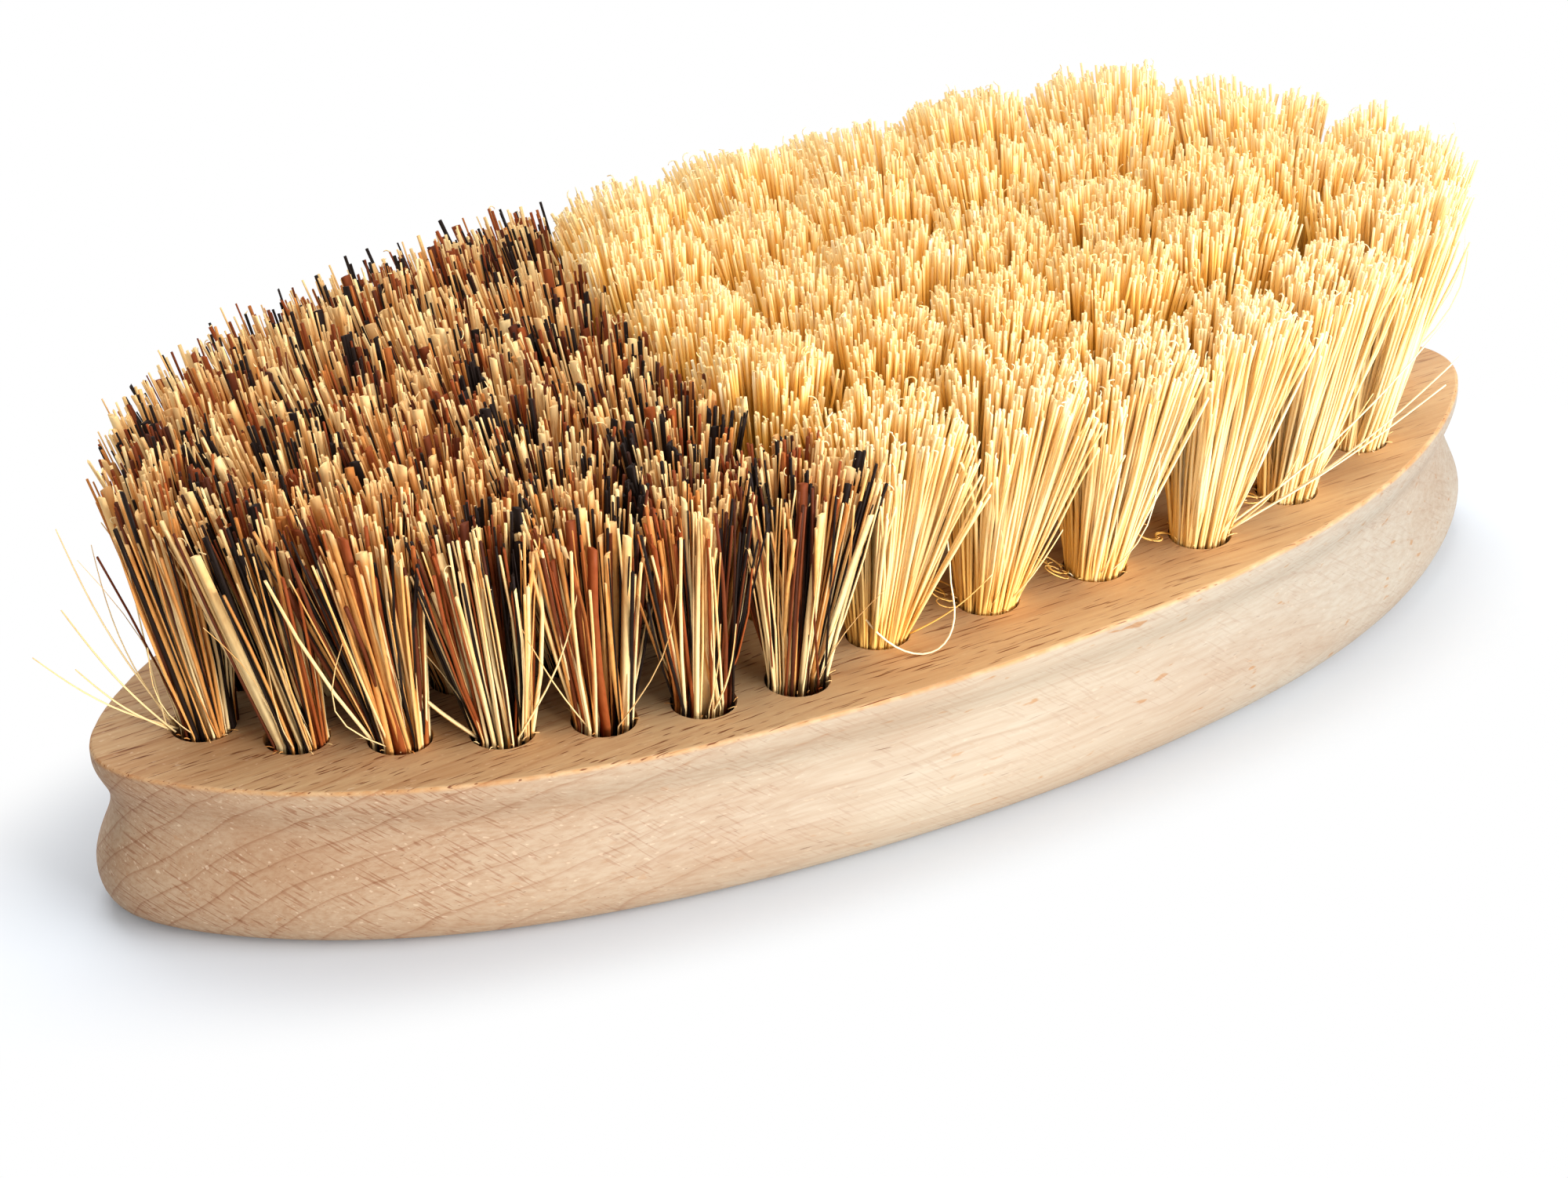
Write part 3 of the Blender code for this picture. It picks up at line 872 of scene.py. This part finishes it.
def place_on(shade):
    """A surface point in the frame's own axes."""
    return shade.add("TexCoord")["Object"]


def in_millimetres(shade, place):
    """A place in millimetres."""
    return shade.stretch(place, (1.0 / MM, 1.0 / MM, 1.0 / MM))


def beech_grain_group():
    """Growth rings, ray flecks, pores and fine grain of beech, whose trunk ran along X."""
    outputs = ("Rings", "Rays", "Pores", "Grain", "Flecks", "Spots", "Height")
    group, shade, given, out = new_group("beech_grain", outputs, {"Ring Gap": 3.0, "Pore Density": 0.5})
    ring_lean = ray_slant = math.radians(38.0)
    arch, drift, wander_reach, before_first_ring = 1.0 / 190.0, -0.04, 4.0, 300.0
    place = in_millimetres(shade, given["Place"])
    wander = shade.less(shade.noise(place, (0.03, 0.07, 0.07), 3.0), 0.5)
    x, y, z = shade.split(place)
    outward, around = shade.turned(y, z, ring_lean)
    arched = shade.times(around, around, arch)
    outward = shade.plus(outward, arched, shade.times(x, drift), shade.times(wander, wander_reach))
    turn = shade.math("DIVIDE", shade.plus(outward, before_first_ring), given["Ring Gap"])
    turn = shade.add("Math", (turn,), operation="FRACT")[0]
    late, early = shade.math("POWER", turn, 16.0), shade.span(turn, 0.0, 0.035, 1.0, 0.0)
    trunk = shade.join(x, around, outward)
    cross, run = shade.turned(z, x, ray_slant)
    thin = shade.noise(shade.join(run, cross, y), (1 / 1.7, 1 / 0.17, 1 / 3.0), 0.0)
    present = shade.span(shade.noise(place, (0.16, 0.16, 0.16), 1.0), 0.36, 0.56)
    rays = shade.times(shade.span(thin, 0.60, 0.72), present)
    dashes = shade.noise(trunk, (1 / 4.2, 1 / 0.17, 1 / 0.17), 1.0)
    fewest = shade.less(0.75, shade.times(given["Pore Density"], 0.14))
    pores = shade.span(dashes, fewest, shade.plus(fewest, 0.11))
    grain = shade.noise(trunk, (1 / 14.0, 1 / 0.40, 1 / 0.40), 4.0, 0.65)
    marks = {
        "Rings": shade.math("MAXIMUM", late, shade.times(early, 0.7)),
        "Rays": rays,
        "Pores": pores,
        "Grain": grain,
        "Flecks": shade.span(shade.noise(trunk, (1 / 0.8, 1 / 0.24, 1 / 0.5), 1.0), 0.66, 0.76),
        "Spots": shade.span(shade.noise(trunk, (1 / 2.6, 1 / 0.75, 1 / 0.75), 2.0), 0.66, 0.74),
        "Height": shade.less(shade.times(grain, 0.4), pores, shade.times(rays, 0.25)),
    }
    shade.feed(out, marks)
    return group


def fibre_marks_group():
    """Reads a fibre's own tone and the place along it, and adds streaks."""
    group, shade, given, out = new_group("fibre_marks", ("Tone", "Along", "Streak"), {"Streak Length": 3.0})
    factors = shade.join(2.5, 2.5, shade.math("DIVIDE", 1.0, given["Streak Length"]))
    marks = {label: shade.add("Attribute", attribute_name=label.lower())["Fac"] for label in ("Tone", "Along")}
    marks["Streak"] = shade.noise(in_millimetres(shade, given["Place"]), factors)
    shade.feed(out, marks)
    return group


def reach_over_face(shade, place):
    """How far out a place lies over the block, seen from above: 0 in its middle and 1 near its rim."""
    squeezed = shade.stretch(place, (1 / (67.0 * MM), 1 / (25.5 * MM), 0.0))
    return shade.add("VectorMath", (squeezed,), operation="LENGTH")["Value"]


def reach_in_face_group():
    """The reach over the face, for the finishes whose colour changes with it."""
    group, shade, given, out = new_group("reach_in_face", ("Reach",), {})
    shade.feed(out, {"Reach": reach_over_face(shade, given["Place"])})
    return group


GROUP_MAKERS = {
    "beech_grain": beech_grain_group,
    "fibre_marks": fibre_marks_group,
    "reach_in_face": reach_in_face_group,
}


def effect(shade, name, values):
    """The outputs of a named effect, placed with its own values and built the first time that it is asked for."""
    group = bpy.data.node_groups.get(name) or GROUP_MAKERS[name]()
    return shade.add("Group", values, node_tree=group)


def surface(shade, shader, tone, roughness, height, relief, strength, shine):
    """Gives a finish its colour, roughness, relief and shine."""
    normal = shade.bump(height, relief, strength)
    values = {"Base Color": tone, "Roughness": roughness, "Normal": normal, "Specular IOR Level": shine}
    shade.feed(shader, values)


def planed_beech(shade, shader):
    """Bare sanded beech: pale at one end, tan at the other, warmer on the planed face."""
    block = brush_settings().block
    place = place_on(shade)
    x, _, z = shade.split(place)
    on_face = shade.span(z, FACE_Z - 0.5 * MM, FACE_Z - 0.05 * MM)
    on_side = shade.less(1.0, on_face)
    right = shade.span(x, -0.058, -0.002)
    left_marks = shade.less(1.0, shade.times(right, 0.72))
    density = shade.plus(shade.times(on_face, 0.68), 0.36)
    own_values = {"Place": place, "Ring Gap": block.ring_gap / MM, "Pore Density": density}
    grain = effect(shade, "beech_grain", own_values)
    tone = shade.tint(right, block.tan, block.pale)
    tone = shade.tint(shade.span(x, 0.0, 0.05), tone, block.end)
    tone = shade.tint(on_face, tone, block.face)
    mottle = shade.span(shade.noise(place, (30.0, 160.0, 160.0), 3.0), 0.35, 0.75, 0.0, 0.35)
    fine = shade.times(shade.span(grain["Grain"], 0.3, 0.75, 0.0, 0.42), shade.span(left_marks, 0.2, 0.9, 0.6, 1.0))
    pores = shade.times(grain["Pores"], shade.plus(shade.times(on_face, 0.4), 0.5))
    tone = shade.stain(tone, mottle, 218, 176, 134)
    tone = shade.stain(tone, shade.times(grain["Rings"], 0.55, left_marks), 196, 142, 98)
    tone = shade.stain(tone, shade.times(grain["Rays"], 0.5, left_marks, on_side), 190, 128, 80)
    tone = shade.stain(tone, fine, 205, 160, 118)
    tone = shade.stain(tone, shade.times(pores, shade.span(x, -0.010, 0.045, 1.0, 0.6)), 140, 84, 48)
    tone = shade.tint(shade.times(grain["Flecks"], 0.24, left_marks), tone, srgb(240, 218, 190))
    spots = shade.times(grain["Spots"], shade.span(x, -0.020, 0.010, 0.35, 0.9), on_side)
    tone = shade.stain(tone, spots, 244, 208, 172)
    in_hole = shade.span(z, FACE_Z - 0.06 * MM, FACE_Z - 0.02 * MM, 1.0, 0.0)
    edge = shade.times(shade.span(z, FACE_Z - 0.55 * MM, FACE_Z - 0.2 * MM), in_hole)
    burr = shade.span(shade.noise(place, (700.0, 700.0, 700.0), 2.0), 0.35, 0.65, 0.05, 0.55)
    tone = shade.stain(tone, shade.times(edge, burr), 238, 202, 152)
    # Painted shade: the walls of the tuft holes are darkened from just under the face down to 3 mm, inside the rim only
    deep = shade.span(z, FACE_Z - 3.0 * MM, FACE_Z - 0.4 * MM, 0.5, 0.0)
    inside = shade.span(effect(shade, "reach_in_face", {"Place": place})["Reach"], 0.80, 0.86, 1.0, 0.0)
    tone = shade.stain(tone, shade.times(deep, inside), 150, 108, 74)
    roughness = shade.span(grain["Grain"], 0.2, 0.8, 0.5, 0.68)
    surface(shade, shader, tone, roughness, grain["Height"], 0.05 * MM, 0.3, 0.25)


def union_bristle(shade, shader):
    """Mixed stiff fibres: some nearly black, many reddish or golden, a few cream."""
    union = brush_settings().union
    marks = effect(shade, "fibre_marks", {"Place": place_on(shade), "Streak Length": 2.5})
    own, along, streak = marks["Tone"], marks["Along"], marks["Streak"]
    tone = shade.ramp(
        own,
        (0.0, union.dark),
        (0.17, union.dark),
        (0.21, srgb(92, 44, 22)),
        (0.36, union.red),
        (0.40, srgb(206, 140, 72)),
        (0.64, union.gold),
        (0.80, srgb(248, 208, 142)),
        (1.0, union.cream),
    )
    tone = shade.stain(tone, shade.span(streak, 0.4, 0.8, 0.0, 0.4), 214, 164, 116)
    pale = shade.times(shade.span(along, 0.3, 0.8, 0.75, 0.1), shade.span(own, 0.52, 0.72))
    tone = shade.tint(pale, tone, union.cream)
    tone = shade.stain(tone, shade.span(along, 0.55, 0.9, 0.0, 0.3), 226, 188, 138)
    tips = shade.times(shade.span(along, 0.94, 1.0, 0.0, 0.4), shade.span(own, 0.4, 0.5))
    tone = shade.tint(tips, tone, union.cream)
    surface(shade, shader, tone, shade.span(streak, 0.2, 0.8, 0.5, 0.7), streak, 0.05 * MM, 0.5, 0.12)


def tampico_bristle(shade, shader):
    """Fine agave fibre: straw and amber, with painted shade making it warmer low in the field, painted light paling the
    outer tufts most at the front, and pale tips.
    """
    tampico = brush_settings().tampico
    place = place_on(shade)
    _, y, z = shade.split(place)
    marks = effect(shade, "fibre_marks", {"Place": place, "Streak Length": 4.0})
    own, along, streak = marks["Tone"], marks["Along"], marks["Streak"]
    tone = shade.ramp(own, (0.0, tampico.amber), (0.18, tampico.straw), (0.75, tampico.straw), (0.93, tampico.pale))
    # Painted shade: fibres low in the middle of the field, below the tips, are given the warmer deep colour in place of
    # light passing among them
    inner = shade.span(effect(shade, "reach_in_face", {"Place": place})["Reach"], 0.70, 0.98, 1.0, 0.0)
    low = shade.span(z, FACE_Z + 19.5 * MM, FACE_Z + 24.2 * MM, 1.0, 0.0)
    low = shade.times(low, shade.span(z, FACE_Z + 8.0 * MM, FACE_Z + 16.0 * MM))
    body = shade.times(shade.span(along, 0.84, 0.96, 1.0, 0.0), 0.7)
    body = shade.times(body, shade.span(z, FACE_Z + 6.0 * MM, FACE_Z + 14.0 * MM))
    tone = shade.tint(shade.times(inner, shade.math("MAXIMUM", low, body), 0.9), tone, tampico.deep)
    # Painted light: the lower bodies of the outer tufts are paled, most at the front, in place of light falling on and
    # passing through them
    painted_front_light = shade.times(shade.less(1.0, inner), shade.span(along, 0.45, 0.9, 0.55, 0.30))
    painted_front_light = shade.times(painted_front_light, shade.span(y, -6.0 * MM, 10.0 * MM, 1.0, 0.2))
    tone = shade.tint(painted_front_light, tone, tampico.pale)
    tone = shade.tint(shade.span(along, 0.93, 1.0, 0.0, 0.42), tone, tampico.pale)
    tone = shade.stain(tone, shade.span(streak, 0.4, 0.8, 0.0, 0.15), 244, 204, 136)
    surface(shade, shader, tone, shade.span(streak, 0.2, 0.8, 0.5, 0.7), streak, 0.04 * MM, 0.4, 0.15)


def anchor_wire(shade, shader):
    """Flat galvanised wire."""
    dull = shade.noise(place_on(shade), (900.0, 900.0, 900.0), 3.0)
    tone = shade.ramp(dull, (0.3, srgb(150, 152, 154)), (0.7, srgb(200, 202, 204)))
    shade.feed(shader, {"Base Color": tone, "Roughness": shade.span(dull, 0.2, 0.8, 0.3, 0.5), "Metallic": 1.0})


WHITE = (1.0, 1.0, 1.0)


def seen_plainly(shade):
    """1 for what the camera sees, also in metal or through glass, and 0 for what only lights the brush."""
    seen = shade.add("LightPath")
    return shade.math("MAXIMUM", seen["Is Camera Ray"], seen["Is Glossy Ray"], seen["Is Transmission Ray"])


def studio_floor(shade, shader):
    """A pale floor that keeps the brush's shadow and turns plain white away from it."""
    tone = brush_settings().studio.floor
    shade.feed(shader, {"Base Color": tone, "Roughness": 0.9, "Specular IOR Level": 0.1})
    share = shade.times(seen_plainly(shade), shade.span(reach_over_face(shade, place_on(shade)), 1.02, 1.40))
    mixed = shade.add("MixShader", (share, shader.outputs[0], shade.add("Emission", (WHITE,))[0]))
    shade.feed(shade.tree.nodes["Material Output"], {"Surface": mixed[0]})


FINISH_MAKERS = {
    "planed_beech": planed_beech,
    "union_bristle": union_bristle,
    "tampico_bristle": tampico_bristle,
    "anchor_wire": anchor_wire,
    "studio_floor": studio_floor,
}


def finish_named(name):
    """The named material, built the first time that it is asked for."""
    material = bpy.data.materials.get(name)
    if material is None:
        material = bpy.data.materials.new(name)
        material.use_nodes = True
        FINISH_MAKERS[name](Shade(material.node_tree), material.node_tree.nodes["Principled BSDF"])
    return material


# The studio

CAMERA_AIM = Vector((-5.8763, -4.9458, 15.0)) * MM
FLOOR_RADIUS, FLOOR_DROP = 4.0, 0.05 * MM

# The lamps: their place, the point that they light and the width of their square, in metres
LAMPS = (
    ("overhead", (0.08, 0.34, 0.88), (0.0, 0.0, 0.0), 0.6),
    ("key", (0.60, -0.80, 0.42), (0.0, 0.0, 0.02), 0.8),
    ("fill", (0.20, -1.0, 0.13), (0.0, 0.0, 0.02), 0.25),
)


def white_room(studio):
    """A world that lights evenly and shows as white behind the floor."""
    world = bpy.data.worlds.new("white_room")
    world.use_nodes = True
    shade = Shade(world.node_tree)
    strength = shade.span(seen_plainly(shade), 0.0, 1.0, studio.dome, 1.0, "LINEAR")
    shade.feed(world.node_tree.nodes["Background"], {"Color": WHITE, "Strength": strength})
    bpy.context.scene.world = world


def soft_light(name, place, target, size, watts):
    """A square area light aimed at a point."""
    light = bpy.data.lights.new(name, "AREA")
    light.shape = "SQUARE"
    light.size = size
    light.energy = watts
    lamp = in_scene(light)
    lamp.location = place
    lamp.rotation_mode = "QUATERNION"
    lamp.rotation_quaternion = (Vector(target) - Vector(place)).to_track_quat("-Z", "Y")


def aim_camera(studio):
    """The camera at the photograph's viewing angle."""
    data = bpy.data.cameras.new("camera")
    data.lens = studio.lens
    data.sensor_width = 36.0
    data.clip_start = 0.01
    data.clip_end = 50.0
    camera = in_scene(data)
    turn, lift, roll = studio.azimuth, studio.elevation, studio.roll
    back = Vector((math.sin(turn) * math.cos(lift), -math.cos(turn) * math.cos(lift), math.sin(lift)))
    right = Vector((math.cos(turn), math.sin(turn), 0.0))
    up = back.cross(right)
    rolled_right = right * math.cos(roll) + up * math.sin(roll)
    rolled_up = up * math.cos(roll) - right * math.sin(roll)
    matrix = Matrix((rolled_right, rolled_up, back)).transposed().to_4x4()
    matrix.translation = CAMERA_AIM + back * studio.distance
    camera.matrix_world = matrix
    bpy.context.scene.camera = camera


# Operators


def build_tufts(kind, add_fibres):
    """Builds every tuft of a kind and puts it in the scene."""
    tufts = tufts_of(kind)
    if not tufts:
        raise RuntimeError(f"the part has no {kind} tufts")
    for tuft in tufts:
        mesh = tuft_mesh(tuft, add_fibres)
        for finish in (f"{kind}_bristle", "anchor_wire"):
            mesh.materials.append(finish_named(finish))
        show(mesh, f"{kind}_fibre", tuft.node)


class BRUSH_OT_block(bpy.types.Operator):
    """Builds the beech block with its finger groove, worn lip and tuft holes"""

    bl_idname = "vegetable_brush.block"
    bl_label = "Beech Block"

    def execute(self, context):
        block = brush_settings().block
        tufts = tufts_of("union") + tufts_of("tampico")
        shell = object_of(block_shell(block), "block_shell")
        cutter = object_of(hole_cutter(tufts, block), "block_drill")
        mesh = drilled(shell, cutter, "beech_block")
        fewest_faces = 1000
        if len(mesh.polygons) < fewest_faces:
            raise RuntimeError("the block came out empty")
        mesh.materials.append(finish_named("planed_beech"))
        show(mesh, "beech_wood", "block")
        return {"FINISHED"}


class BRUSH_OT_union_tufts(bpy.types.Operator):
    """Builds the stiff union fibre tufts"""

    bl_idname = "vegetable_brush.union_tufts"
    bl_label = "Union Tufts"

    def execute(self, context):
        build_tufts("union", union_fibres)
        return {"FINISHED"}


class BRUSH_OT_tampico_tufts(bpy.types.Operator):
    """Builds the fine tampico tufts"""

    bl_idname = "vegetable_brush.tampico_tufts"
    bl_label = "Tampico Tufts"

    def execute(self, context):
        build_tufts("tampico", tampico_fibres)
        return {"FINISHED"}


class BRUSH_OT_studio(bpy.types.Operator):
    """Builds the floor, the lights, the white surroundings and the camera"""

    bl_idname = "vegetable_brush.studio"
    bl_label = "Studio"

    def execute(self, context):
        studio = brush_settings().studio
        bm = bmesh.new()
        bmesh.ops.create_circle(bm, cap_ends=True, segments=96, radius=FLOOR_RADIUS)
        floor = object_of(bm, "studio_floor")
        floor.location.z = -FLOOR_DROP
        floor.data.materials.append(finish_named("studio_floor"))
        white_room(studio)
        for name, place, target, size in LAMPS:
            soft_light(name, place, target, size, getattr(studio, name))
        aim_camera(studio)
        bpy.context.scene.view_settings.view_transform = "Standard"
        return {"FINISHED"}


class BRUSH_PT_panel(bpy.types.Panel):
    """Lists the brush's pieces and its main sizes"""

    bl_idname = "BRUSH_PT_panel"
    bl_label = "Vegetable Brush"
    bl_space_type = "VIEW_3D"
    bl_region_type = "UI"
    bl_category = "Brush"

    def draw(self, context):
        settings = context.scene.vegetable_brush
        for group in (settings.block, settings.union, settings.tampico, settings.studio):
            box = self.layout.box()
            for name in group.bl_rna.properties.keys():
                if name not in {"rna_type", "name"}:
                    box.prop(group, name)
        for operator in OPERATORS:
            self.layout.operator(operator.bl_idname)


OPERATORS = (BRUSH_OT_block, BRUSH_OT_union_tufts, BRUSH_OT_tampico_tufts, BRUSH_OT_studio)
CLASSES = (BlockSettings, UnionSettings, TampicoSettings, StudioSettings, BrushSettings, *OPERATORS, BRUSH_PT_panel)


def register():
    """Registers the add-on's classes and its settings."""
    for item in CLASSES:
        bpy.utils.register_class(item)
    bpy.types.Scene.vegetable_brush = PointerProperty(type=BrushSettings)


def unregister():
    """Takes the add-on's classes and settings away again."""
    del bpy.types.Scene.vegetable_brush
    for item in reversed(CLASSES):
        bpy.utils.unregister_class(item)


def main():
    """Builds the whole scene."""
    register()
    bpy.ops.vegetable_brush.studio()
    bpy.ops.vegetable_brush.block()
    bpy.ops.vegetable_brush.union_tufts()
    bpy.ops.vegetable_brush.tampico_tufts()
    bpy.context.view_layer.update()


if __name__ == "__main__":
    main()
